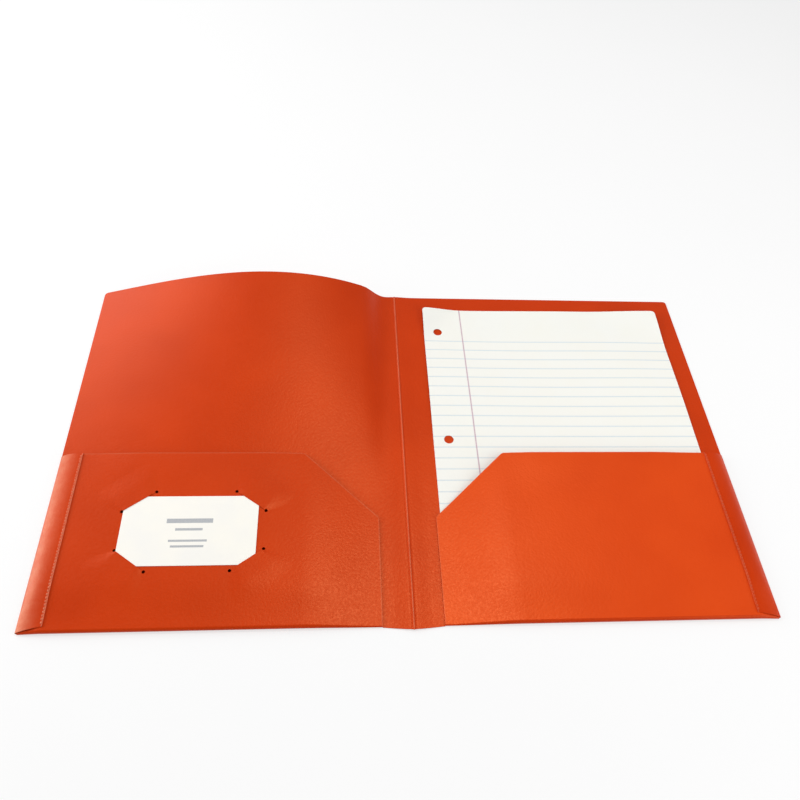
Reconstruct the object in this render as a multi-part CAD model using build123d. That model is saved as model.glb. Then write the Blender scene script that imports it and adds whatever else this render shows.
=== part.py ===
from build123d import *
import os

# A two pocket folder, die-cut from polypropylene sheet, folded and welded, lying open with its
# pockets up. A sheet of filler paper stands in the right pocket, and a business card sits in the
# four slits of the left one.
# X runs across the folder, with the crease at 0 and the right cover on the plus side. Y runs from
# the bottom edge to the top edge, and Z up from the surface that the folder lies on. The origin is
# on the crease, half way up the folder. Each panel between two folds is a solid of its own.
# Millimetres. What the left half shares with the right one is made on the plus side and mirrored.

# Ruled sheet of filler paper, 8 x 10 1/2 in, punched for three rings
paper_width = 203.2
paper_height = 266.7
paper_thickness = 0.1
paper_clearance = 0.05  # between the paper and the cover under it
paper_inset = 23.0  # crease to the paper's edge
paper_margin = 15.1  # paper's other edge to the cover's outer edge
paper_seat = 6.1  # bottom fold line to the paper's lower edge
paper_corner_radius = 3.0
punch_radius = 3.6
punch_inset = 11.5  # paper's edge to the holes' centres
punch_end_inset = 25.4  # paper's top and bottom to the end holes' centres

# Covers
cover_width = paper_inset + paper_width + paper_margin  # crease to outer edge, 241.3 or 9 1/2 in
cover_height = 292.1  # bottom of the crease to top edge, 11 1/2 in
sheet = 0.5  # thickness of the sheet that everything is folded from
cover_corner_radius = 2.0  # top corner of the cover that lies flat
tip_drop = 2.0  # how far the crease ends below the bottom folds
arch_rise = 22.0  # how far the left cover bows up at its top edge
arch_start = 4.0  # from the pocket's mouth to where the bow begins

# Living hinge along the crease
hinge_half_width = 3.2
hinge_web = 0.3  # thickness left under the score
crease_radius = 0.45  # the round ridge of the crease, on the axis that the covers turn about
hinge_clearance = 0.05  # between the hinge and the left cover

# Pockets
pocket_height = 127.0  # bottom fold to mouth, 5 in
pocket_depth = 4.4  # clear space between a cover and its pocket panel
pocket_edge = 19.8  # crease to the pocket's edge beside it
throat_gap = 0.5  # clear space at the pocket's edges
throat_width = 52.0  # stretch beside the spine over which a panel rises to its full depth
corner_cut_width = 52.0  # slanting cut at the mouth's corner nearest the crease
corner_cut_height = 50.0
pocket_corner_radius = 4.0

# Side flaps, folded in from the covers' outer edges over the pocket panels and welded to them
flap_width = 16.0
flap_land = 2.5  # flat strip along the flap's edge that takes the weld
flap_end_cut = 3.0  # slant of the flap's lower end
panel_clearance = 0.3  # between a pocket panel's edge and the side fold round it

# Weld beads
bead_pitch = 2.2
bead_radius = 0.7
bead_top_radius = 0.4
bead_height = 0.3

# Business card, and the slits that hold its corners
card_width = 88.9
card_height = 50.8
card_thickness = 0.3
card_clearance = 0.05  # above and below the card
card_shift = 2.0  # the card lies this far towards the outer edge, and slides twice as far back
slit_offset = 4.75  # the four slits lie this far nearer the crease than the panel's flat stretch does
slit_centre_height = 66.6  # bottom fold to the middle of the four slits
slit_half_width = 47.5  # from the middle to the slit ends at the card's short sides
slit_half_height = 29.2  # from the middle to the slit ends at the card's long sides
slit_side_reach = 14.1  # half the distance between the slit ends at one short side
slit_top_reach = 26.9  # half the distance between the slit ends at one long side
relief_radius = 1.1  # punched hole at each end of a slit
tab_margin = 2.5  # how far a lifted corner tab reaches past the slits' ends
tab_rim = 0.8  # the tab's foot on the panel
tab_wall = 0.4

# Lines and levels that the sizes give
bottom = -cover_height / 2
top = cover_height / 2
pocket_foot = bottom + tip_drop
fold_line = pocket_foot + pocket_depth / 2 + sheet
fold_end = pocket_foot + throat_gap / 2 + sheet
mouth = pocket_foot + pocket_height
arch_line = mouth + arch_start
side_fold_radius = (throat_gap + 3 * sheet) / 2
flap_root = cover_width - side_fold_radius
flap_edge = cover_width - flap_width
panel_outer = flap_root - panel_clearance
panel_inner_knee = pocket_edge + throat_width
panel_outer_knee = flap_edge + flap_land
throat_level = sheet + throat_gap
panel_level = sheet + pocket_depth
panel_top = panel_level + sheet
tab_room = card_thickness + 2 * card_clearance
slit_centre = (panel_inner_knee + flap_edge) / 2 - slit_offset
slit_centre_y = pocket_foot + slit_centre_height


def plate(points, low, thickness):
    """Flat plate of an outline drawn in X and Y."""
    outline = make_face(Polyline(*points, close=True))
    return Pos(0, 0, low) * extrude(outline, thickness)


def run_along_y(profile, start, end):
    """Straight run of a profile drawn in X and Z."""
    section = make_face(Polyline(*[(x, start, z) for x, z in profile], close=True))
    return extrude(section, end - start, dir=(0, 1, 0))


def band(line):
    """Profile of a sheet whose lower side follows a line of X and Z."""
    return line + [(x, z + sheet) for x, z in reversed(line)]


def mirrored(shape):
    """The same shape on the other side of the crease."""
    return mirror(shape, about=Plane.YZ)


def tip_height(x):
    """Lower edge between the pockets, which comes to a blunt point at the crease."""
    return bottom + tip_drop * x / pocket_edge


def half_ring(centre, radius, place):
    """Wire round the section of a half-round fold, whose open side faces its panels."""
    inner = radius - sheet
    diagonal = 0.5**0.5

    def at(away, up):
        return place(centre + away, radius + up)

    edges = [
        ThreePointArc(at(0, -radius), at(radius * diagonal, -radius * diagonal), at(radius, 0)),
        ThreePointArc(at(radius, 0), at(radius * diagonal, radius * diagonal), at(0, radius)),
        Line(at(0, radius), at(0, inner)),
        ThreePointArc(at(0, inner), at(inner * diagonal, inner * diagonal), at(inner, 0)),
        ThreePointArc(at(inner, 0), at(inner * diagonal, -inner * diagonal), at(0, -inner)),
        Line(at(0, -inner), at(0, -radius)),
    ]
    return Wire(edges)


def cover_waste():
    """What is cut from a cover's blank below its bottom fold and outside its side fold."""
    beyond = cover_width + sheet
    below = bottom - sheet
    points = [
        (0, below),
        (beyond, below),
        (beyond, mouth),
        (flap_root, mouth),
        (flap_root, fold_end),
        (panel_outer, fold_end),
        (panel_outer_knee, fold_line),
        (panel_inner_knee, fold_line),
        (pocket_edge, fold_end),
        (pocket_edge, tip_height(pocket_edge)),
        (0, tip_height(0)),
    ]
    return plate(points, -sheet, 3 * sheet)


def flat_cover():
    """The cover that lies flat, under the paper."""
    corners = [
        (hinge_half_width, bottom),
        (cover_width, bottom),
        (cover_width, top),
        (hinge_half_width, top),
    ]
    blank = make_face(Polyline(*corners, close=True))
    outer_corner = blank.vertices().sort_by(Axis.X)[-2:].sort_by(Axis.Y)[-1]
    return extrude(fillet(outer_corner, cover_corner_radius), sheet) - cover_waste()


def bow_section(y, rise):
    """Wire round the left cover's section at one Y: flat beside the crease, and bowed past it."""
    inner_edge = hinge_half_width + hinge_clearance
    middle = (pocket_edge + cover_width) / 2

    def bowed(low):
        start = (pocket_edge, y, low)
        end = (cover_width, y, low)
        if rise == 0:
            return Line(start, end)
        return ThreePointArc(start, (middle, y, low + rise), end)

    lower = bowed(0)
    upper = bowed(sheet)
    lower_strip = Line((inner_edge, y, 0), lower @ 0)
    upper_strip = Line((inner_edge, y, sheet), upper @ 0)
    outer_end = Line(lower @ 1, upper @ 1)
    inner_end = Line(upper_strip @ 0, lower_strip @ 0)
    return Wire([lower_strip, lower, outer_end, upper, upper_strip, inner_end])


def bowed_cover():
    """The cover that stays flat under its pocket and beside the crease, and bows up above them."""
    sections = [bow_section(bottom, 0), bow_section(arch_line, 0), bow_section(top, arch_rise)]
    return Solid.make_loft(sections, ruled=True) - cover_waste()


def living_hinge():
    """Thin web between the covers, with the crease's round ridge along its middle."""
    shoulder = tip_height(hinge_half_width)
    outline = [
        (-hinge_half_width, shoulder),
        (0, bottom),
        (hinge_half_width, shoulder),
        (hinge_half_width, top),
        (-hinge_half_width, top),
    ]
    web = plate(outline, sheet - hinge_web, hinge_web)
    ridge = Pos(0, 0, crease_radius) * Rot(90, 0, 0) * Cylinder(crease_radius, cover_height)
    return web + ridge


def pocket_outline():
    """Outline of a pocket panel, with its slanting cut beside the spine."""
    points = [
        (pocket_edge, fold_end),
        (panel_inner_knee, fold_line),
        (panel_outer_knee, fold_line),
        (panel_outer, fold_end),
        (panel_outer, mouth),
        (pocket_edge + corner_cut_width, mouth),
        (pocket_edge, mouth - corner_cut_height),
    ]
    outline = make_face(Polyline(*points, close=True))
    cut_corners = outline.vertices().sort_by(Axis.Y)[-3:].sort_by(Axis.X)[0:2]
    return fillet(cut_corners, pocket_corner_radius)


def pocket_panel():
    """Panel folded up from the bottom, low beside the spine and under its flap."""
    line = [
        (pocket_edge, throat_level),
        (panel_inner_knee, panel_level),
        (panel_outer_knee, panel_level),
        (panel_outer, throat_level),
    ]
    blank = run_along_y(band(line), fold_end, mouth)
    return blank & extrude(pocket_outline(), panel_top)


def bottom_fold():
    """Half-round fold between a cover and its pocket panel, straight below, tapering to both ends."""
    stations = [
        (pocket_edge, throat_gap),
        (panel_inner_knee, pocket_depth),
        (panel_outer_knee, pocket_depth),
        (panel_outer, throat_gap),
    ]
    sections = []
    for x, gap in stations:
        radius = gap / 2 + sheet

        def place(away, z, x=x, line=pocket_foot + radius):
            return (x, line - away, z)

        sections.append(half_ring(0, radius, place))
    return Solid.make_loft(sections, ruled=True)


def side_flap():
    """Flap folded in from the cover's outer edge, lying on the pocket panel."""
    line = [
        (flap_root, throat_level + sheet),
        (panel_outer, throat_level + sheet),
        (panel_outer_knee, panel_top),
        (flap_edge, panel_top),
    ]
    blank = run_along_y(band(line), fold_end, mouth)
    slant = [(flap_edge, fold_end), (flap_root, fold_end), (flap_edge, fold_end + flap_end_cut)]
    return blank - plate(slant, 0, panel_top + sheet)


def side_fold():
    """Tight half-round fold between a cover's outer edge and its flap."""
    section = half_ring(flap_root, side_fold_radius, lambda x, z: (x, fold_end, z))
    return extrude(Face(section), mouth - fold_end, dir=(0, 1, 0))


def weld_beads():
    """Row of weld beads along the flap's edge."""
    bead = Cone(bead_radius, bead_top_radius, bead_height, align=(Align.CENTER, Align.CENTER, Align.MIN))
    first = fold_end + flap_end_cut + bead_pitch
    count = int((mouth - bead_pitch - first) / bead_pitch) + 1
    x = flap_edge + flap_land / 2
    return [Pos(x, first + number * bead_pitch, panel_top + sheet) * bead for number in range(count)]


def slit_corners():
    """For each slit, its two ends and the apex of the tab that it frees."""
    corners = []
    for side in (-1, 1):
        for up in (-1, 1):
            side_end = (slit_centre + side * slit_half_width, slit_centre_y + up * slit_side_reach)
            top_end = (slit_centre + side * slit_top_reach, slit_centre_y + up * slit_half_height)
            apex_x = slit_centre + side * (slit_half_width + tab_margin)
            apex_y = slit_centre_y + up * (slit_half_height + tab_margin)
            corners.append((side, up, [side_end, top_end, (apex_x, apex_y)]))
    return corners


def towards_middle(side, up, points):
    """A tab's triangle, moved in from its two feet."""
    return [(x - side * tab_rim, y - up * tab_rim) for x, y in points]


def card_tabs():
    """The four corner tabs, lifted out of the panel, that the card's corners are tucked under."""
    tabs = []
    for side, up, triangle in slit_corners():
        solid = plate(triangle, panel_top, tab_room + tab_wall)
        tabs.append(solid - plate(towards_middle(side, up, triangle), panel_top, tab_room))
    return tabs


def slit_pocket_panel():
    """Pocket panel with the windows that its corner tabs leave and a punched hole at each slit end."""
    panel = pocket_panel()
    for side, up, triangle in slit_corners():
        window = plate(triangle, 0, panel_top) & plate(towards_middle(side, up, triangle), 0, panel_top)
        panel = panel - window
        for x, y in triangle[0:2]:
            panel = panel - Pos(x, y, panel_level) * Cylinder(relief_radius, 2 * panel_level)
    return panel


def business_card():
    """Plain card, tucked under the four tabs."""
    card = Box(card_width, card_height, card_thickness, align=(Align.CENTER, Align.CENTER, Align.MIN))
    return Pos(slit_centre + card_shift, slit_centre_y, panel_top + card_clearance) * card


def ruled_sheet():
    """Sheet of filler paper with its three punched holes."""
    x = paper_inset + paper_width / 2
    y = fold_line + paper_seat + paper_height / 2
    blank = RectangleRounded(paper_width, paper_height, paper_corner_radius)
    end_hole = paper_height / 2 - punch_end_inset
    for hole in (-end_hole, 0, end_hole):
        blank = blank - Pos(punch_inset - paper_width / 2, hole) * Circle(punch_radius)
    return Pos(x, y, sheet + paper_clearance) * extrude(blank, paper_thickness)


def write(name, shape):
    export_step(shape, f"parts/{name}.step")


os.makedirs("parts", exist_ok=True)

write("living_hinge", living_hinge())

write("right_cover", flat_cover())
write("right_pocket_panel", pocket_panel())
write("right_bottom_fold", bottom_fold())
write("right_side_flap", side_flap())
write("right_side_fold", side_fold())
write("right_weld_beads", Compound(weld_beads()))

write("left_cover", mirrored(bowed_cover()))
write("left_pocket_panel", mirrored(slit_pocket_panel()))
write("left_bottom_fold", mirrored(bottom_fold()))
write("left_side_flap", mirrored(side_flap()))
write("left_side_fold", mirrored(side_fold()))
write("left_weld_beads", Compound([mirrored(bead) for bead in weld_beads()]))
write("card_corner_tabs", Compound([mirrored(tab) for tab in card_tabs()]))

write("business_card", mirrored(business_card()))
write("ruled_sheet", ruled_sheet())
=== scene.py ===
import math

import bmesh
import bpy
import numpy as np
from mathutils import Matrix, Vector


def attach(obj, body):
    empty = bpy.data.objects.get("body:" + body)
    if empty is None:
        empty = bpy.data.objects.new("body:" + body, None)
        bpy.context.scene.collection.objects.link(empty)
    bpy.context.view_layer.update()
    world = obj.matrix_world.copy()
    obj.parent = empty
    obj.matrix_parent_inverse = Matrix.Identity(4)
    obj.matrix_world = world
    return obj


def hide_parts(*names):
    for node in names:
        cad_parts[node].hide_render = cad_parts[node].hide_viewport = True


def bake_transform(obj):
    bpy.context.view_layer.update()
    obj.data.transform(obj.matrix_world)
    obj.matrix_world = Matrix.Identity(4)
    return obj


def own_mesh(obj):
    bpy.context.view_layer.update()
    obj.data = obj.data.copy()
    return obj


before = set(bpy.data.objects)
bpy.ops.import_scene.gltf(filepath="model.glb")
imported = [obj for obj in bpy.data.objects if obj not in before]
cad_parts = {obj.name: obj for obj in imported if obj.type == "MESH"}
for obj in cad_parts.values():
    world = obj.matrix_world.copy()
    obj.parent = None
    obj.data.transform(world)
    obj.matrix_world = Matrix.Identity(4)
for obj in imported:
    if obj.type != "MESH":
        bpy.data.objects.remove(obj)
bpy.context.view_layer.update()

# A two pocket folder of orange polypropylene sheet, lying open on a pale floor, with a sheet of
# ruled filler paper in its right pocket and a plain business card in the slits of the left one.
# Shapes are worked out in millimetres in the part's own frame, and become metres when a mesh is
# made. The floor, the lamps and the camera are in metres.

MILLIMETRE = 0.001

# Making of the meshes
weld_distance = 1e-8
tiny_length = 1e-9
rim_push = 0.3
hole_sides = 28

# Sizes of the sheet, the covers and the crease
sheet = 0.5
cover_width = 241.3
bottom = -146.05
top = 146.05
tip_drop = 2.0
cover_corner_radius = 2.5
hinge_half_width = 3.2
ridge_height = 0.4
ridge_width = 0.5
wear_width = 0.35
cut_edge_width = 0.5
score_depth = 0.12
score_place = 1.35
score_width = 0.35
web_low = 0.2
ridge_root = 0.5
ridge_band = 0.9
score_band = 2.2
tent_height = 0.9
tent_width = 9.0

# Bands of the covers' grids: at the foot, along the top, by the outer edge, and the narrow steps
# where the outline changes at once
foot_band = 10.0
top_band = 6.0
edge_band = 225.0
inner_step = 0.02
mouth_step = 0.05
corner_steps = 6

# Bow of the left cover
bow_peak = 28.0
bow_start = 3.2
bow_skew = 0.8
bow_ease = 0.1
bow_growth = 1.3
bow_foot = -60.0

# Sizes of the pockets, their folds and the side flaps
pocket_foot = -144.05
fold_end = -143.3
mouth = -17.05
pocket_edge = 19.8
throat_gap = 0.5
throat_width = 52.0
pocket_depth = 4.4
fold_share = 0.58
roll_height = 30.0
mouth_flare = 1.2
flare_height = 35.0
flare_start = 60.0
flare_fade = 40.0
flare_margin = 3.0
corner_cut_width = 52.0
corner_cut_height = 50.0
pocket_corner_radius = 4.0
panel_outer = 240.0
panel_outer_knee = 227.8
panel_roundness = 0.55
fold_roundness = 0.85
flap_edge = 225.3
flap_root = 240.3
flap_end_cut = 3.0
side_fold_radius = 1.0
side_fold_end = math.radians(45.0)
flap_end = flap_root + side_fold_radius * math.cos(side_fold_end)
flap_end_level = side_fold_radius * (1.0 + math.sin(side_fold_end))
flap_roll = 2.5
panel_top = 5.4
panel_edge_band = 1.5
slant_top_start = 70.4
slant_top_end = 73.6
mouth_band = 0.985

# Weld beads along the flaps' edges
bead_pitch = 2.2
bead_count = 55
bead_half_length = 0.95
bead_half_width = 0.75
bead_height = 0.4
bead_sink = 0.02
bead_inset = 0.8
bead_first = fold_end + flap_end_cut + bead_pitch
bead_line = flap_edge + bead_inset
weld_ridge_height = 0.3
weld_ridge_width = 0.5
weld_band = 1.2

# Whitening of the sheet along the welds, with painted highlight making the left welds paler, and
# painted highlight where the flaps roll over into their folds, strong on the left and faint on the
# right
bead_wear_and_highlight = {"right": 0.28, "left": 0.67}
weld_wear_and_highlight = {"right": 0.22, "left": 0.55}
roll_highlight = {"right": 0.05, "left": 0.7}
roll_highlight_width = 8.5

# Card, and the slits that hold its corners
card_width = 88.9
card_height = 50.8
card_thickness = 0.3
card_corner_radius = 0.4
card_low = 5.45
card_centre = (-145.8, -77.45)
slit_centre = (-143.8, -77.45)
slit_half_width = 47.5
slit_half_height = 29.2
slit_side_reach = 14.1
slit_top_reach = 26.9
relief_radius = 1.1
relief_reach = 2.0
tab_room = 0.38
tab_wall = 0.22
tab_reach = 26.0
tab_overlap = 12.0
tab_side_band = 2.0
tab_slit_band = 4.0
tab_slant = 0.9
tab_widening = 1.1
tab_side_ease = 1.5
tab_top_ease = 5.0
tab_end_fade = 8.0
tab_depth_fade = 16.0
tab_inner_sink = 0.06
tab_outer_sink = 0.03

# Filler paper
paper_left = 23.0
paper_width = 203.2
paper_bottom = -135.25
paper_height = 266.7
paper_low = 0.55
paper_thickness = 0.1
paper_corner_radius = 3.0
punch_radius = 3.6
punch_x = 34.5
punch_rows = (-109.85, -1.9, 106.05)
punch_low = -5.0
punch_high = 15.0

# Lifted corners and wave of the filler paper
left_curl_height = 3.6
left_curl_reach = 38.0
left_curl_power = 1.2
right_curl_height = 3.0
right_curl_reach = 46.0
right_curl_slant = 0.7
wave_height = 0.5
wave_fade = 60.0
wave_across = 31.0
wave_up = 47.0


def smooth(share):
    """Soft step from 0 to 1."""
    held = np.clip(share, 0.0, 1.0)
    return held * held * (3.0 - 2.0 * held)


def spans(*stops):
    """Values that run through a list of places. Each place but the first comes with its count of
    steps."""
    values = [stops[0]]
    for count, end in stops[1:]:
        start = values[-1]
        values.extend(start + (end - start) * step / count for step in range(1, count + 1))
    return np.array(values)


def finish_mesh(mesh, sharp_angle=38.0):
    """Outward normals, and smooth shading but for sharp edges."""
    work = bmesh.new()
    work.from_mesh(mesh)
    bmesh.ops.remove_doubles(work, verts=work.verts, dist=weld_distance)
    bmesh.ops.recalc_face_normals(work, faces=work.faces)
    work.to_mesh(mesh)
    work.free()
    mesh.shade_smooth()
    mesh.set_sharp_from_angle(angle=math.radians(sharp_angle))


def new_piece(name, points, faces):
    """Object of a mesh whose points are in millimetres."""
    mesh = bpy.data.meshes.new(name)
    mesh.from_pydata([tuple(point) for point in np.asarray(points) * MILLIMETRE], [], faces)
    finish_mesh(mesh)
    piece = bpy.data.objects.new(name, mesh)
    bpy.context.scene.collection.objects.link(piece)
    return piece


def border(rows, columns):
    """Grid places round the edge of a grid, in order."""
    loop = [(0, column) for column in range(columns)]
    loop += [(row, columns - 1) for row in range(1, rows)]
    loop += [(rows - 1, column) for column in range(columns - 2, -1, -1)]
    loop += [(row, 0) for row in range(rows - 2, 0, -1)]
    return loop


def shell(outer, inner):
    """Points and faces of a closed sheet between two grids of points, with a rounded rim."""
    rows, columns = outer.shape[:2]
    size = rows * columns
    points = list(outer.reshape(-1, 3)) + list(inner.reshape(-1, 3))
    faces = []
    for row in range(rows - 1):
        for column in range(columns - 1):
            here = row * columns + column
            quad = (here, here + 1, here + columns + 1, here + columns)
            faces.append(quad)
            faces.append(tuple(size + corner for corner in reversed(quad)))
    middle = (outer + inner) / 2
    loop = border(rows, columns)
    rim = []
    for row, column in loop:
        inside = middle[min(max(row, 1), rows - 2), min(max(column, 1), columns - 2)]
        away = middle[row, column] - inside
        length = np.linalg.norm(away)
        thickness = np.linalg.norm(outer[row, column] - inner[row, column])
        push = away / length * thickness * rim_push if length > tiny_length else 0.0
        rim.append(len(points))
        points.append(middle[row, column] + push)
    for number, (row, column) in enumerate(loop):
        following = (number + 1) % len(loop)
        next_row, next_column = loop[following]
        here = row * columns + column
        there = next_row * columns + next_column
        faces.append((here, rim[number], rim[following], there))
        faces.append((size + here, size + there, rim[following], rim[number]))
    return points, faces


def sided(points, side):
    """Points on the right of the crease, or mirrored to its left."""
    return np.asarray(points) * np.array([side, 1.0, 1.0])


def grid_piece(name, outer, inner, side=1):
    """Object of a closed sheet, on the right of the crease or on its left."""
    points, faces = shell(outer, inner)
    return new_piece(name, sided(points, side), faces)


def cut_holes(piece, centres, radius, low, high):
    """Round holes through a piece, upright, at places in X and Y."""
    sides = hole_sides
    points = []
    faces = []
    for x, y in centres:
        first = len(points)
        for z in (low, high):
            for number in range(sides):
                angle = 2 * math.pi * number / sides
                points.append((x + radius * math.cos(angle), y + radius * math.sin(angle), z))
        faces.append(tuple(first + number for number in reversed(range(sides))))
        faces.append(tuple(first + sides + number for number in range(sides)))
        for number in range(sides):
            after = (number + 1) % sides
            faces.append((first + number, first + after, first + sides + after, first + sides + number))
    drill = new_piece("drill", points, faces)
    cut = piece.modifiers.new("holes", "BOOLEAN")
    cut.operation = "DIFFERENCE"
    cut.solver = "EXACT"
    cut.object = drill
    bpy.context.view_layer.update()
    made = bpy.data.meshes.new_from_object(piece.evaluated_get(bpy.context.evaluated_depsgraph_get()))
    piece.modifiers.remove(cut)
    piece.data = made
    finish_mesh(made)
    bpy.data.objects.remove(drill)


# Shape of the covers and the pockets

def tip_height(x):
    """Lower edge between the pockets, which comes to a blunt point at the crease."""
    return bottom + tip_drop * x / pocket_edge


def tent(x):
    """Rise of the sheet beside the crease, which keeps a little of its fold."""
    return tent_height * math.exp(-((x / tent_width) ** 2))


def pocket_gap(x, roundness=panel_roundness):
    """Clear height between a cover and its pocket panel, at a distance x from the crease."""
    rise = smooth((x - pocket_edge) / throat_width)
    fall = np.clip((panel_outer - x) / (panel_outer - panel_outer_knee), 0.0, 1.0) ** roundness
    return throat_gap + (pocket_depth - throat_gap) * np.minimum(rise, fall)


def fold_gap(x):
    """Clear height inside a bottom fold, which is tighter than the pocket."""
    return throat_gap + (pocket_gap(x, fold_roundness) - throat_gap) * fold_share


def fold_height(x):
    """Lower edge of a pocket panel, where its bottom fold begins."""
    return pocket_foot + fold_gap(x) / 2 + sheet


def panel_rise(x, y):
    """Clear height under a pocket panel, which rolls down to its fold and flares at its mouth."""
    rolled = smooth((y - fold_height(x)) / roll_height)
    rise = fold_gap(x) + (pocket_gap(x) - fold_gap(x)) * rolled
    from_crease = smooth((x - flare_start) / flare_fade)
    from_flap = smooth((flap_edge - flare_margin - x) / flare_fade)
    inside = from_crease * from_flap
    return rise + mouth_flare * inside * smooth((y - mouth + flare_height) / flare_height)


def mouth_height(x):
    """Upper edge of a pocket panel, with its slanting cut and the two rounded corners of that."""
    slant = math.atan2(corner_cut_height, corner_cut_width)
    radius = pocket_corner_radius
    low_tangent = radius * math.tan((math.pi / 2 - slant) / 2)
    high_tangent = radius * math.tan(slant / 2)
    low_corner = mouth - corner_cut_height
    high_corner = pocket_edge + corner_cut_width
    if x < pocket_edge + low_tangent * math.cos(slant):
        away = x - (pocket_edge + radius)
        return low_corner - low_tangent + math.sqrt(max(radius**2 - away**2, 0.0))
    if x < high_corner - high_tangent * math.cos(slant):
        return low_corner + (x - pocket_edge) * math.tan(slant)
    if x < high_corner + high_tangent:
        away = x - (high_corner + high_tangent)
        return mouth - radius + math.sqrt(max(radius**2 - away**2, 0.0))
    return mouth


def left_bow(x, y):
    """Height of the left cover above the floor, at a distance x from the crease. The bow begins inside
    the pocket, lower than its panel, and grows to the cover's top edge."""
    share = np.clip((x - bow_start) / (cover_width - bow_start), 0.0, 1.0)
    across = np.sin(np.pi * share**bow_skew) * smooth(share / bow_ease)
    along = np.clip((y - bow_foot) / (top - bow_foot), 0.0, 1.0)
    return bow_peak * across * along**bow_growth


def cover(name, side, bow):
    """One cover: a sheet with the crease's tip at its foot, room for its side fold, and a round
    corner."""
    low_band = fold_end + foot_band
    high_band = top - top_band
    inner_line = pocket_edge + inner_step
    columns = spans(hinge_half_width, (8, pocket_edge), (1, inner_line), (46, edge_band))
    columns = np.append(columns, spans(edge_band, (7, cover_width - cover_corner_radius))[1:])
    turns = [math.pi / 2 * step / corner_steps for step in range(1, corner_steps + 1)]
    corner = [math.sin(turn) for turn in turns]
    columns = np.append(columns, [cover_width - cover_corner_radius * (1 - share) for share in corner])
    above_mouth = mouth + mouth_step
    rows = spans(fold_end, (4, low_band), (14, mouth), (1, above_mouth), (44, high_band), (4, top))
    lower = np.zeros((len(rows), len(columns), 3))
    for row, level in enumerate(rows):
        for column, x in enumerate(columns):
            y = level
            if level < low_band:
                foot = tip_height(x) if x <= pocket_edge else fold_height(x)
                y = low_band - (low_band - level) * (low_band - foot) / (low_band - fold_end)
            if level > high_band:
                past = max(x - (cover_width - cover_corner_radius), 0.0)
                fall = cover_corner_radius - math.sqrt(max(cover_corner_radius**2 - past**2, 0.0))
                y = high_band + (level - high_band) * (top - fall - high_band) / (top - high_band)
            out = x
            if level <= mouth and x > edge_band:
                out = edge_band + (x - edge_band) * (flap_root - edge_band) / (cover_width - edge_band)
            lower[row, column] = (out, y, bow(x, y) + tent(x))
    return grid_piece(name, lower + np.array([0, 0, sheet]), lower, side)


def panel_columns():
    """Places across a pocket panel, close together where its outline turns."""
    return spans(
        pocket_edge,
        (5, pocket_edge + panel_edge_band),
        (22, slant_top_start),
        (8, slant_top_end),
        (60, panel_outer_knee),
        (14, panel_outer),
    )


def pocket_panel(name, side):
    """Panel folded up from the bottom: low beside the spine, full in the middle, low under its flap."""
    columns = panel_columns()
    shares = spans(0.0, (24, mouth_band), (4, 1.0))
    lower = np.zeros((len(shares), len(columns), 3))
    for column, x in enumerate(columns):
        for row, share in enumerate(shares):
            y = fold_height(x) + (mouth_height(x) - fold_height(x)) * share
            lower[row, column] = (x, y, sheet + panel_rise(x, y))
    return grid_piece(name, lower + np.array([0, 0, sheet]), lower, side)


def bottom_fold(name, side):
    """Half-round fold between a cover and its pocket panel, straight below, tapering to both ends."""
    columns = panel_columns()
    angles = spans(-math.pi / 2, (16, math.pi / 2))
    outer = np.zeros((len(angles), len(columns), 3))
    inner = np.zeros_like(outer)
    for column, x in enumerate(columns):
        hollow = fold_gap(x) / 2
        full = hollow + sheet
        for row, angle in enumerate(angles):
            for grid, radius in ((outer, full), (inner, hollow)):
                y = pocket_foot + full - radius * math.cos(angle)
                grid[row, column] = (x, y, full + radius * math.sin(angle))
    return grid_piece(name, outer, inner, side)


def side_flap(name, side):
    """Flap folded in from the cover's outer edge, lying on the pocket panel, with a welded edge."""
    columns = spans(flap_edge, (6, flap_edge + weld_band), (3, panel_outer_knee), (20, flap_end))
    shares = spans(0.0, (40, 1.0))
    upper = np.zeros((len(shares), len(columns), 3))
    for column, x in enumerate(columns):
        foot = fold_end + flap_end_cut * (flap_end - x) / (flap_end - flap_edge)
        rolled = max(x - panel_outer_knee, 0.0) / (flap_end - panel_outer_knee)
        for row, share in enumerate(shares):
            y = foot + (mouth - foot) * share
            flat = 3 * sheet + panel_rise(min(x, panel_outer_knee), y)
            upper[row, column] = (x, y, flat - (flat - flap_end_level) * rolled**flap_roll)
    lower = upper - np.array([0, 0, sheet])
    from_edge = (lower[:, :, 0] - flap_edge) / weld_ridge_width
    upper[:, :, 2] += weld_ridge_height * np.exp(-(from_edge**2))
    return grid_piece(name, upper, lower, side)


def side_fold(name, side):
    """Tight round fold between a cover's outer edge and its flap."""
    levels = spans(fold_end, (24, mouth))
    angles = spans(-math.pi / 2, (14, side_fold_end))
    outer = np.zeros((len(levels), len(angles), 3))
    inner = np.zeros_like(outer)
    for row, y in enumerate(levels):
        for column, angle in enumerate(angles):
            for grid, radius in ((outer, side_fold_radius), (inner, side_fold_radius - sheet)):
                x = flap_root + radius * math.cos(angle)
                grid[row, column] = (x, y, side_fold_radius + radius * math.sin(angle))
    return grid_piece(name, outer, inner, side)


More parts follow.
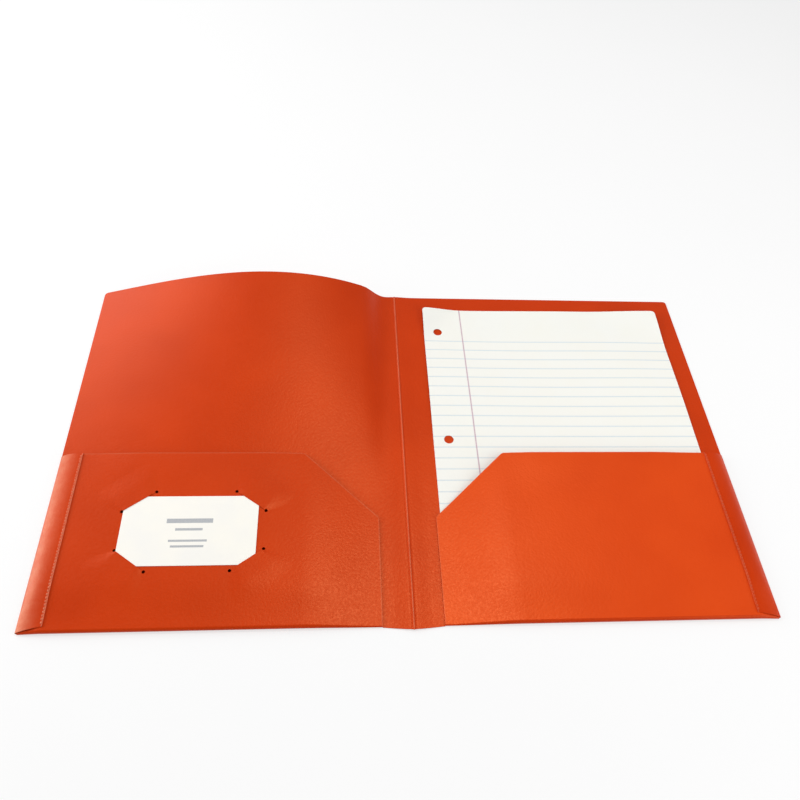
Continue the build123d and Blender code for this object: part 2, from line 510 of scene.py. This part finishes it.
def weld_beads(name, side):
    """Row of weld beads, each a small dome drawn out along the flap's edge."""
    around = 14
    rings = 4
    points = []
    faces = []
    for number in range(bead_count):
        y = bead_first + number * bead_pitch
        base = 3 * sheet + panel_rise(bead_line, y) - bead_sink
        first = len(points)
        for ring in range(rings):
            lift = math.pi / 2 * ring / rings
            for step in range(around):
                turn = 2 * math.pi * step / around
                across = bead_half_width * math.cos(lift) * math.cos(turn)
                along = bead_half_length * math.cos(lift) * math.sin(turn)
                points.append((bead_line + across, y + along, base + bead_height * math.sin(lift)))
        points.append((bead_line, y, base + bead_height))
        peak = first + rings * around
        faces.append(tuple(first + step for step in reversed(range(around))))
        for step in range(around):
            after = (step + 1) % around
            for ring in range(rings - 1):
                here = first + ring * around
                faces.append((here + step, here + after, here + around + after, here + around + step))
            last = first + (rings - 1) * around
            faces.append((last + step, last + after, peak))
    return new_piece(name, sided(points, side), faces)


def living_hinge(name):
    """Thin web between the covers, with the crease's round ridge and a score on each side of it."""
    half = spans(0.0, (6, ridge_band), (8, score_band), (3, hinge_half_width))
    columns = np.concatenate([-half[:0:-1], half])
    levels = spans(0.0, (40, 1.0))
    outer = np.zeros((len(levels), len(columns), 3))
    inner = np.zeros_like(outer)
    for column, x in enumerate(columns):
        ridge = ridge_height * math.exp(-((x / ridge_width) ** 2))
        score = score_depth * math.exp(-(((abs(x) - score_place) / score_width) ** 2))
        foot = tip_height(abs(x))
        for row, share in enumerate(levels):
            y = foot + (top - foot) * share
            outer[row, column] = (x, y, sheet + ridge - score + tent(x))
            inner[row, column] = (x, y, web_low - ridge_root * ridge + tent(x))
    return grid_piece(name, outer, inner)


def add_wear_and_highlight(piece, wear_and_highlight_at):
    """Wear and painted highlight values of a piece, from a function of the distance from the crease and
    of Y.
    """
    wear_and_highlight = piece.data.attributes.new("wear_and_highlight", "FLOAT", "POINT")
    for vertex in piece.data.vertices:
        place = vertex.co / MILLIMETRE
        wear_and_highlight.data[vertex.index].value = wear_and_highlight_at(abs(place.x), place.y)


def fading(distance, width):
    """1 on a line, and less with the distance from it."""
    return math.exp(-((distance / width) ** 2))


def crease_wear(x, y):
    """Wear along the crease's ridge."""
    return fading(x, wear_width)


def flap_wear_and_highlight(half):
    """Whitening of a flap along its welded edge, with painted highlight there that is stronger on the
    left, and painted highlight where it rolls over into its fold.
    """

    def wear_and_highlight_at(x, y):
        welded = weld_wear_and_highlight[half] * fading(x - flap_edge, weld_ridge_width)
        rolled = roll_highlight[half] * fading(flap_end - x, roll_highlight_width)
        return max(welded, rolled)

    return wear_and_highlight_at


def cut_edge_wear_and_highlight(x, y):
    """Pale line along the cut edges of a pocket panel: its side by the crease, its slant and its mouth.
    It is partly whitening of the cut and partly painted highlight where the edges catch light.
    """
    slant = math.atan2(corner_cut_height, corner_cut_width)
    below_slant = mouth - corner_cut_height + (x - pocket_edge) * math.tan(slant) - y
    distance = min(x - pocket_edge, mouth - y, below_slant * math.cos(slant))
    return fading(distance, cut_edge_width)


def slits():
    """For each slit, its two ends and the direction from it to the corner of the card under it."""
    found = []
    middle_x, middle_y = slit_centre
    for across in (-1, 1):
        for up in (-1, 1):
            side_end = np.array((middle_x + across * slit_half_width, middle_y + up * slit_side_reach))
            top_end = np.array((middle_x + across * slit_top_reach, middle_y + up * slit_half_height))
            along = (top_end - side_end) / np.linalg.norm(top_end - side_end)
            away = np.array((along[1], -along[0]))
            away = away if away[0] * across > 0 else -away
            found.append((side_end, top_end, away))
    return found


def slit_ends():
    """Places of the punched holes that end the slits."""
    return [tuple(end) for slit in slits() for end in slit[0:2]]


def cut_slit_ends(piece):
    """Punches the holes that end the slits through the left panel or its tabs."""
    cut_holes(piece, slit_ends(), relief_radius, panel_top - relief_reach, panel_top + relief_reach)


def card_tabs(name):
    """The four corners that the slits free: the panel, lifted softly by the card's corner under it."""
    points = []
    faces = []
    for side_end, top_end, away in slits():
        length = np.linalg.norm(top_end - side_end)
        along = (top_end - side_end) / length
        far_end = length + tab_overlap
        places = spans(-tab_overlap, (8, 0.0), (6, tab_side_band), (16, length), (8, far_end))
        depths = spans(0.0, (6, tab_slit_band), (18, tab_reach))
        outer = np.zeros((len(depths), len(places), 3))
        inner = np.zeros_like(outer)
        for row, depth in enumerate(depths):
            for column, place in enumerate(places):
                x, y = side_end + along * place + away * depth
                wider = tab_widening * depth
                from_side = smooth((place + tab_slant * depth) / (tab_side_ease + wider))
                from_top = smooth((length - place + tab_slant * depth) / (tab_top_ease + wider))
                near_fade = smooth((place + tab_overlap) / tab_end_fade)
                ends = near_fade * smooth((far_end - place) / tab_end_fade)
                lift = from_side * from_top * ends * smooth((tab_reach - depth) / tab_depth_fade)
                level = 2 * sheet + panel_rise(-x, y)
                under = level - tab_inner_sink + (tab_room + tab_inner_sink) * lift
                over = level - tab_outer_sink + (tab_room + tab_wall + tab_outer_sink) * lift
                inner[row, column] = (x, y, under)
                outer[row, column] = (x, y, over)
        tab_points, tab_faces = shell(outer, inner)
        first = len(points)
        points.extend(tab_points)
        faces.extend(tuple(first + corner for corner in face) for face in tab_faces)
    piece = new_piece(name, points, faces)
    cut_slit_ends(piece)
    return piece


def add_flat_map(piece, left, low, width, height):
    """UV map of a flat sheet: its share across and up, read from X and Y."""
    flat_map = piece.data.uv_layers.new(name="flat")
    for loop in piece.data.loops:
        place = piece.data.vertices[loop.vertex_index].co
        across = (place.x / MILLIMETRE - left) / width
        up = (place.y / MILLIMETRE - low) / height
        flat_map.data[loop.index].uv = (across, up)


def rounded_sheet(left, low, width, height, radius, across_count, up_count, lift):
    """Grid of a sheet with round corners, whose lower side stands at lift(x, y)."""
    ends = spans(0.0, (6, radius))
    straight = spans(radius, (up_count, height - radius))[1:]
    levels = np.concatenate([ends, straight, height - ends[-2::-1]])
    shares = spans(0.0, (across_count, 1.0))
    grid = np.zeros((len(levels), len(shares), 3))
    for row, level in enumerate(levels):
        near = max(radius - min(level, height - level), 0.0)
        inset = radius - math.sqrt(max(radius**2 - near**2, 0.0))
        for column, share in enumerate(shares):
            x = left + inset + (width - 2 * inset) * share
            y = low + level
            grid[row, column] = (x, y, lift(x, y))
    return grid


def paper_lift(x, y):
    """Lower side of the filler paper: flat in the pocket, with lifted corners at its top edge."""
    from_left = x - paper_left
    from_right = paper_left + paper_width - x
    from_top = paper_bottom + paper_height - y
    left_share = smooth(1.0 - (from_left + from_top) / left_curl_reach)
    left_curl = left_curl_height * left_share**left_curl_power
    right_share = smooth(1.0 - (right_curl_slant * from_right + from_top) / right_curl_reach)
    right_curl = right_curl_height * right_share
    shown = smooth((y - mouth) / wave_fade)
    wave = wave_height * shown * (1.0 + math.sin(x / wave_across + y / wave_up))
    return paper_low + left_curl + right_curl + wave


def ruled_sheet(name):
    """Sheet of filler paper with its three punched holes."""
    lower = rounded_sheet(
        paper_left,
        paper_bottom,
        paper_width,
        paper_height,
        paper_corner_radius,
        across_count=70,
        up_count=90,
        lift=paper_lift,
    )
    piece = grid_piece(name, lower + np.array([0, 0, paper_thickness]), lower)
    cut_holes(piece, [(punch_x, y) for y in punch_rows], punch_radius, punch_low, punch_high)
    add_flat_map(piece, paper_left, paper_bottom, paper_width, paper_height)
    return piece


def business_card(name):
    """Plain card, tucked under the four tabs."""
    left = card_centre[0] - card_width / 2
    low = card_centre[1] - card_height / 2
    lower = rounded_sheet(
        left,
        low,
        card_width,
        card_height,
        card_corner_radius,
        across_count=36,
        up_count=20,
        lift=lambda x, y: card_low,
    )
    piece = grid_piece(name, lower + np.array([0, 0, card_thickness]), lower)
    add_flat_map(piece, left, low, card_width, card_height)
    return piece


# Materials

class Nodes:
    """A material's node tree, with short ways to add and join nodes."""

    def __init__(self, name):
        self.material = bpy.data.materials.new(name)
        self.material.use_nodes = True
        self.tree = self.material.node_tree
        self.shader = self.tree.nodes["Principled BSDF"]

    def add(self, kind, **settings):
        node = self.tree.nodes.new(kind)
        for key, value in settings.items():
            setattr(node, key, value)
        return node

    def join(self, source, target):
        self.tree.links.new(source, target)

    def put(self, value, target):
        """Sets a socket to a number or joins another socket to it."""
        if isinstance(value, (int, float)):
            target.default_value = value
        else:
            self.join(value, target)

    def math(self, operation, first, second=0.0):
        node = self.add("ShaderNodeMath", operation=operation)
        self.put(first, node.inputs[0])
        self.put(second, node.inputs[1])
        return node.outputs[0]

    def noise(self, place, scale, detail=3.0, roughness=0.55):
        node = self.add("ShaderNodeTexNoise")
        node.inputs["Scale"].default_value = scale
        node.inputs["Detail"].default_value = detail
        node.inputs["Roughness"].default_value = roughness
        self.join(place, node.inputs["Vector"])
        return node.outputs["Fac"]

    def spread(self, value, low, high, start=0.3, end=0.7):
        """Value from start to end, mapped to a range from low to high and held there outside."""
        node = self.add("ShaderNodeMapRange")
        node.inputs["From Min"].default_value = start
        node.inputs["From Max"].default_value = end
        node.inputs["To Min"].default_value = low
        node.inputs["To Max"].default_value = high
        self.join(value, node.inputs["Value"])
        return node.outputs["Result"]

    def mix(self, share, first, second):
        """Colour between two colours, each a tuple or a socket."""
        node = self.add("ShaderNodeMix", data_type="RGBA")
        self.put(share, node.inputs["Factor"])
        for value, socket in ((first, node.inputs[6]), (second, node.inputs[7])):
            if isinstance(value, tuple):
                socket.default_value = (*value, 1.0)
            else:
                self.join(value, socket)
        return node.outputs[2]

    def bump(self, height, distance, strength, normal=None):
        node = self.add("ShaderNodeBump")
        node.inputs["Distance"].default_value = distance
        node.inputs["Strength"].default_value = strength
        self.join(height, node.inputs["Height"])
        if normal is not None:
            self.join(normal, node.inputs["Normal"])
        return node.outputs["Normal"]


def linear(red, green, blue):
    """Linear colour of an sRGB one, given from 0 to 255."""
    values = []
    for value in (red, green, blue):
        share = value / 255
        values.append(share / 12.92 if share <= 0.04045 else ((share + 0.055) / 1.055) ** 2.4)
    return tuple(values)


poly_deep = linear(196, 52, 6)
poly_bright = linear(206, 58, 9)
# Lighter copy of the sheet's colours: painted light for the right pocket panel, where the white paper
# behind sends light back through the sheet
poly_paper_lit_deep = linear(217, 66, 14)
poly_paper_lit_bright = linear(225, 73, 18)
# Pale colour for whitened sheet, also used for painted highlights
poly_pale_wear_and_highlight = linear(211, 140, 108)
poly_sheen = (1.0, 0.36, 0.14)
poly_gloss = 0.6
poly_flap_gloss = 0.35
wear_and_highlight_least = 0.5


def poly_material(name, deep=poly_deep, bright=poly_bright, wear_and_highlight_share=0.0, gloss=poly_gloss):
    """Satin polypropylene with a fine grain. With a share, it is paler by up to that share where the
    piece's own values say so: whitening where bending has stressed the sheet, and painted highlight
    along cut edges, welds and rolled edges."""
    made = Nodes(name)
    place = made.add("ShaderNodeTexCoord").outputs["Object"]
    cloud = made.noise(place, scale=14.0, detail=2.0)
    grain = made.noise(place, scale=2200.0, detail=2.0, roughness=0.6)
    pebble = made.noise(place, scale=620.0, detail=2.0, roughness=0.5)
    colour = made.mix(made.spread(cloud, low=0.0, high=1.0), deep, bright)
    if wear_and_highlight_share > 0.0:
        patchy = made.noise(place, scale=160.0, detail=3.0, roughness=0.6)
        patches = made.spread(patchy, low=wear_and_highlight_least * wear_and_highlight_share, high=wear_and_highlight_share)
        values = made.add("ShaderNodeAttribute", attribute_name="wear_and_highlight").outputs["Fac"]
        share = made.math("MULTIPLY", patches, values)
        colour = made.mix(share, colour, poly_pale_wear_and_highlight)
    made.join(colour, made.shader.inputs["Base Color"])
    made.join(made.spread(pebble, low=0.31, high=0.41), made.shader.inputs["Roughness"])
    coarse = made.bump(pebble, distance=0.00022, strength=0.55)
    fine = made.bump(grain, distance=0.00006, strength=0.4, normal=coarse)
    made.join(fine, made.shader.inputs["Normal"])
    made.shader.inputs["IOR"].default_value = 1.49
    made.shader.inputs["Specular IOR Level"].default_value = gloss
    made.shader.inputs["Specular Tint"].default_value = (*poly_sheen, 1.0)
    return made.material


paper_white = linear(247, 247, 241)
paper_shade = linear(247, 246, 238)
rule_blue = linear(214, 224, 229)
margin_pink = linear(196, 158, 175)
rule_pitch = 9.525
rule_first = 35.3
rule_core = 0.25
rule_edge = 0.7
margin_place = 31.75
ink_least = 0.7


def paper_material(name):
    """Filler paper: soft white fibres, pale blue rules and a pink margin line."""
    made = Nodes(name)
    place = made.add("ShaderNodeTexCoord").outputs["Object"]
    flat = made.add("ShaderNodeUVMap", uv_map="flat").outputs["UV"]
    split = made.add("ShaderNodeSeparateXYZ")
    made.join(flat, split.inputs["Vector"])
    across = made.math("MULTIPLY", split.outputs["X"], paper_width)
    down = made.math("MULTIPLY", made.math("SUBTRACT", 1.0, split.outputs["Y"]), paper_height)
    fibre = made.noise(place, scale=900.0, detail=4.0, roughness=0.7)
    cloud = made.noise(place, scale=30.0, detail=3.0)
    colour = made.mix(made.spread(cloud, low=0.0, high=1.0), paper_white, paper_shade)
    past_first = made.math("SUBTRACT", down, rule_first)
    turns = made.math("ADD", made.math("DIVIDE", past_first, rule_pitch), 0.5)
    off_rule = made.math("ABSOLUTE", made.math("SUBTRACT", made.math("FRACT", turns), 0.5))
    from_rule = made.math("MULTIPLY", off_rule, rule_pitch)
    on_rule = made.spread(from_rule, low=1.0, high=0.0, start=rule_core, end=rule_edge)
    ruled = made.math("MULTIPLY", on_rule, made.math("GREATER_THAN", past_first, -rule_pitch / 2))
    inked = made.math("MULTIPLY", ruled, made.spread(fibre, low=ink_least, high=1.0))
    colour = made.mix(inked, colour, rule_blue)
    off_margin = made.math("ABSOLUTE", made.math("SUBTRACT", across, margin_place))
    on_margin = made.spread(off_margin, low=1.0, high=0.0, start=rule_core, end=rule_edge)
    drawn = made.math("MULTIPLY", on_margin, made.spread(fibre, low=ink_least, high=1.0))
    colour = made.mix(drawn, colour, margin_pink)
    made.join(colour, made.shader.inputs["Base Color"])
    made.join(made.spread(fibre, low=0.78, high=0.9), made.shader.inputs["Roughness"])
    made.join(made.bump(fibre, distance=0.00004, strength=0.3), made.shader.inputs["Normal"])
    made.shader.inputs["Specular IOR Level"].default_value = 0.25
    return made.material


card_white = linear(252, 249, 240)
card_shade = linear(248, 246, 240)
card_ink = linear(168, 172, 178)
card_ink_least = 0.75
# Plain grey bars in the middle of the card, as shares of its width and height: left, low, right, high
card_bars = [
    (0.33, 0.60, 0.67, 0.665),
    (0.40, 0.49, 0.60, 0.525),
    (0.36, 0.33, 0.64, 0.36),
    (0.38, 0.25, 0.62, 0.28),
]


def card_material(name):
    """Smooth card with a few plain grey bars."""
    made = Nodes(name)
    place = made.add("ShaderNodeTexCoord").outputs["Object"]
    flat = made.add("ShaderNodeUVMap", uv_map="flat").outputs["UV"]
    split = made.add("ShaderNodeSeparateXYZ")
    made.join(flat, split.inputs["Vector"])
    fibre = made.noise(place, scale=1400.0, detail=4.0, roughness=0.65)
    cloud = made.noise(place, scale=60.0, detail=2.0)
    colour = made.mix(made.spread(cloud, low=0.0, high=1.0), card_white, card_shade)
    for left, low, right, high in card_bars:
        inside = made.math("GREATER_THAN", split.outputs["X"], left)
        inside = made.math("MULTIPLY", inside, made.math("LESS_THAN", split.outputs["X"], right))
        inside = made.math("MULTIPLY", inside, made.math("GREATER_THAN", split.outputs["Y"], low))
        inside = made.math("MULTIPLY", inside, made.math("LESS_THAN", split.outputs["Y"], high))
        printed = made.math("MULTIPLY", inside, made.spread(fibre, low=card_ink_least, high=1.0))
        colour = made.mix(printed, colour, card_ink)
    made.join(colour, made.shader.inputs["Base Color"])
    made.join(made.spread(fibre, low=0.5, high=0.62), made.shader.inputs["Roughness"])
    made.join(made.bump(fibre, distance=0.00002, strength=0.25), made.shader.inputs["Normal"])
    made.shader.inputs["Specular IOR Level"].default_value = 0.35
    return made.material


floor_white = linear(250, 250, 250)
floor_shade = linear(247, 247, 247)
floor_whitening = 0.65


def floor_material(name):
    """Pale matt floor, brightened towards white where the camera sees it."""
    made = Nodes(name)
    place = made.add("ShaderNodeTexCoord").outputs["Object"]
    cloud = made.noise(place, scale=3.0, detail=2.0)
    colour = made.mix(made.spread(cloud, low=0.0, high=1.0), floor_white, floor_shade)
    made.join(colour, made.shader.inputs["Base Color"])
    made.shader.inputs["Roughness"].default_value = 0.9
    made.shader.inputs["Specular IOR Level"].default_value = 0.1
    rays = made.add("ShaderNodeLightPath").outputs
    seen = made.math("MAXIMUM", rays["Is Camera Ray"], rays["Is Glossy Ray"])
    seen = made.math("MAXIMUM", seen, rays["Is Transmission Ray"])
    white = made.add("ShaderNodeEmission")
    white.inputs["Strength"].default_value = 1.0
    blend = made.add("ShaderNodeMixShader")
    made.join(made.math("MULTIPLY", seen, floor_whitening), blend.inputs[0])
    made.join(made.shader.outputs[0], blend.inputs[1])
    made.join(white.outputs[0], blend.inputs[2])
    made.join(blend.outputs[0], made.tree.nodes["Material Output"].inputs["Surface"])
    return made.material


poly = poly_material("poly_sheet")
# Left pocket panel: pale cut edges, partly whitening and partly painted highlight, stronger than on the
# right
poly_panel = poly_material("poly_panel", wear_and_highlight_share=0.35)
# Right pocket panel: painted light from the paper behind it, and fainter painted highlight on its cut
# edges
poly_paper_lit = poly_material("poly_lit_over_paper", poly_paper_lit_deep, poly_paper_lit_bright, wear_and_highlight_share=0.25)
# Flap pieces: whitening along the welds, with painted highlight on the welds and the rolled edges
poly_flap = poly_material("poly_flap", wear_and_highlight_share=0.9, gloss=poly_flap_gloss)
poly_crease = poly_material("poly_crease", wear_and_highlight_share=0.5)
paper = paper_material("filler_paper")
card = card_material("card_stock")


def dress(piece, material, body, node):
    """Gives a piece its material and its body, and hides the CAD part of the node that it stands for.
    """
    piece.data.materials.clear()
    piece.data.materials.append(material)
    if body is not None:
        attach(piece, body)
    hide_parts(node)


# The folder

for side, half in ((1, "right"), (-1, "left")):
    body = f"{half}_half"
    bow = left_bow if half == "left" else lambda x, y: 0.0
    front = cover(f"{half}_cover_sheet", side, bow)
    dress(front, poly, body, f"{half}_cover")
    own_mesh(front)
    panel = pocket_panel(f"{half}_pocket_sheet", side)
    if half == "left":
        cut_slit_ends(panel)
    # Pale cut edges: partly whitening of the cut, partly painted highlight
    add_wear_and_highlight(panel, cut_edge_wear_and_highlight)
    # The right panel takes the lighter copy, with painted light from the paper behind it
    panel_finish = poly_panel if half == "left" else poly_paper_lit
    dress(panel, panel_finish, body, f"{half}_pocket_panel")
    dress(bottom_fold(f"{half}_bottom_bend", side), poly, body, f"{half}_bottom_fold")
    flap = side_flap(f"{half}_flap_sheet", side)
    # Flap: weld whitening plus painted highlight, and painted highlight on its rolled edge
    add_wear_and_highlight(flap, flap_wear_and_highlight(half))
    dress(flap, poly_flap, body, f"{half}_side_flap")
    bend = side_fold(f"{half}_side_bend", side)
    # Side fold: painted highlight of the flap's roll, strong on the left
    add_wear_and_highlight(bend, lambda x, y: roll_highlight[half])
    dress(bend, poly_flap, body, f"{half}_side_fold")
    beads = weld_beads(f"{half}_weld_row", side)
    # Weld beads: whitened by welding, paler on the left with painted highlight
    add_wear_and_highlight(beads, lambda x, y: bead_wear_and_highlight[half])
    dress(beads, poly_flap, body, f"{half}_weld_beads")

hinge = living_hinge("crease_web")
add_wear_and_highlight(hinge, crease_wear)
dress(hinge, poly_crease, None, "living_hinge")
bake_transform(hinge)

dress(card_tabs("slit_corners"), poly, "left_half", "card_corner_tabs")
dress(business_card("plain_card"), card, "card", "business_card")
dress(ruled_sheet("filler_paper"), paper, "paper", "ruled_sheet")

# Floor, light and camera

floor_half = 4.0
floor_level = -0.0002
floor_mesh = bpy.data.meshes.new("floor")
floor_corners = [
    (-floor_half, -floor_half, floor_level),
    (floor_half, -floor_half, floor_level),
    (floor_half, floor_half, floor_level),
    (-floor_half, floor_half, floor_level),
]
floor_mesh.from_pydata(floor_corners, [], [(0, 1, 2, 3)])
floor = bpy.data.objects.new("floor", floor_mesh)
floor_mesh.materials.append(floor_material("pale_floor"))
bpy.context.scene.collection.objects.link(floor)


def soft_lamp(name, place, aim, size, power):
    """Square soft box that faces a point."""
    data = bpy.data.lights.new(name, "AREA")
    data.shape = "SQUARE"
    data.size = size
    data.energy = power
    lamp = bpy.data.objects.new(name, data)
    lamp.location = place
    lamp.rotation_euler = (Vector(aim) - Vector(place)).to_track_quat("-Z", "Y").to_euler()
    bpy.context.scene.collection.objects.link(lamp)


soft_lamp("key", place=(-0.9, 0.85, 0.7), aim=(-0.1, 0.0, 0.0), size=0.9, power=6.0)
soft_lamp("side", place=(-1.1, 0.1, 0.3), aim=(-0.15, 0.0, 0.0), size=0.6, power=7.2)
soft_lamp("fill", place=(0.8, -0.4, 0.42), aim=(0.15, 0.0, 0.0), size=0.7, power=3.8)
soft_lamp("overhead", place=(0.14, 0.33, 1.3), aim=(0.0, 0.0, 0.0), size=0.3, power=5.6)

world_strength = 0.305
world = bpy.data.worlds.new("studio")
world.use_nodes = True
world.node_tree.nodes["Background"].inputs["Color"].default_value = (1.0, 1.0, 1.0, 1.0)
world.node_tree.nodes["Background"].inputs["Strength"].default_value = world_strength
bpy.context.scene.world = world
bpy.context.scene.view_settings.view_transform = "Standard"

# Camera fitted to the photographed corners of the folder and its crease
camera_place = Vector((-0.04965, -0.31771, 0.46055))
camera_down = math.radians(52.239)
camera_turn = math.radians(7.969)
camera_roll = math.radians(6.559)
focal_pixels = 754.02
frame_pixels = 800
camera_data = bpy.data.cameras.new("camera")
camera_data.sensor_width = 36.0
camera_data.lens = camera_data.sensor_width * focal_pixels / frame_pixels
camera_data.clip_start = 0.01
camera = bpy.data.objects.new("camera", camera_data)
ahead = Vector(
    (
        math.sin(camera_turn) * math.cos(camera_down),
        math.cos(camera_turn) * math.cos(camera_down),
        -math.sin(camera_down),
    )
)
level_right = ahead.cross(Vector((0, 0, 1))).normalized()
level_up = level_right.cross(ahead)
right = math.cos(camera_roll) * level_right + math.sin(camera_roll) * level_up
up = math.cos(camera_roll) * level_up - math.sin(camera_roll) * level_right
turn = Matrix((right, up, -ahead)).transposed()
camera.matrix_world = Matrix.Translation(camera_place) @ turn.to_4x4()
bpy.context.scene.collection.objects.link(camera)
bpy.context.scene.camera = camera
